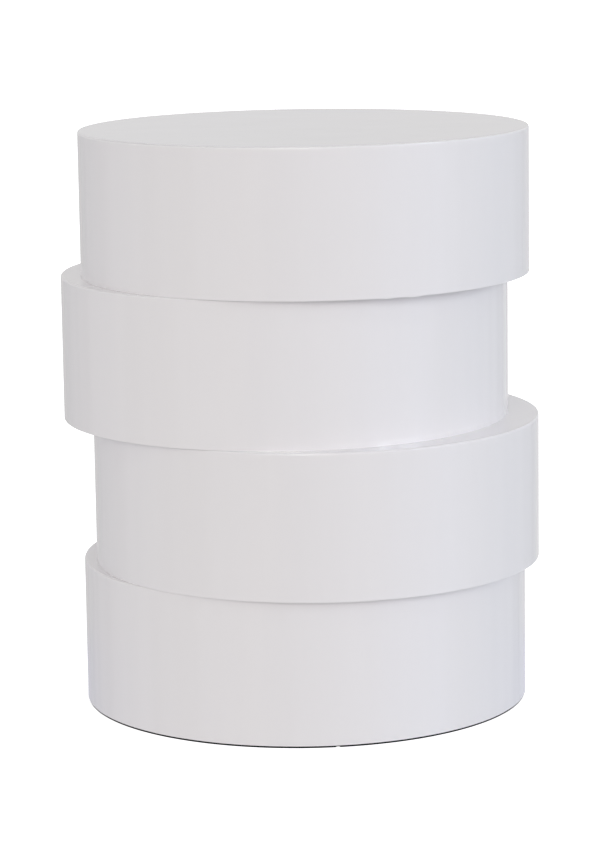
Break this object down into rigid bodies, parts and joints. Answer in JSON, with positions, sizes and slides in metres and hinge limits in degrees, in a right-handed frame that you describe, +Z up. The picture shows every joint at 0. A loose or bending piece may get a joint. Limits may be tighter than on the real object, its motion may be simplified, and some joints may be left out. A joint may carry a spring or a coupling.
{
  "type": "drum side table",
  "caption": "Side table of equal round lacquered drums stacked off-centre, with a flat round top and a flat base.",
  "frame": {"origin": "on the floor, on the axis of the draw rod, which is the middle of the outline seen from above", "axes": "+Z up, -Y towards the front, +X to the right of someone facing the front"},
  "size_m": [0.4607, 0.4446, 0.5575],
  "materials": {
    "white_lacquer": "high-gloss white lacquer on MDF, softly rippled up and down the walls",
    "raw_mdf": "bare MDF, sawn kerfs",
    "plywood": "bare birch plywood with its plies showing on the edges",
    "beech": "bare turned beech",
    "zinc_steel": "zinc-plated steel",
    "black_rubber": "matt black rubber"
  },
  "bodies": {
    "root": {"tier_1_outer_skin": "white_lacquer", "tier_1_wall_core": "raw_mdf", "tier_1_top_panel": "white_lacquer", "tier_1_bottom_panel": "white_lacquer", "tier_1_rib_front": "plywood", "tier_1_rib_back": "plywood", "tier_1_rib_left": "plywood", "tier_1_rib_right": "plywood", "tier_2_outer_skin": "white_lacquer", "tier_2_wall_core": "raw_mdf", "tier_2_top_panel": "white_lacquer", "tier_2_bottom_panel": "white_lacquer", "tier_2_rib_front": "plywood", "tier_2_rib_back": "plywood", "tier_2_rib_left": "plywood", "tier_2_rib_right": "plywood", "tier_3_outer_skin": "white_lacquer", "tier_3_wall_core": "raw_mdf", "tier_3_top_panel": "white_lacquer", "tier_3_bottom_panel": "white_lacquer", "tier_3_rib_front": "plywood", "tier_3_rib_back": "plywood", "tier_3_rib_left": "plywood", "tier_3_rib_right": "plywood", "tier_4_outer_skin": "white_lacquer", "tier_4_wall_core": "raw_mdf", "tier_4_top_panel": "white_lacquer", "tier_4_bottom_panel": "white_lacquer", "tier_4_rib_front": "plywood", "tier_4_rib_back": "plywood", "tier_4_rib_left": "plywood", "tier_4_rib_right": "plywood", "joint_1_2_dowels": "beech", "joint_2_3_dowels": "beech", "joint_3_4_dowels": "beech", "draw_rod": "zinc_steel", "tee_nut": "zinc_steel", "rod_washer": "zinc_steel", "rod_nut": "zinc_steel", "glide_strip": "black_rubber"}
  },
  "joints": []
}
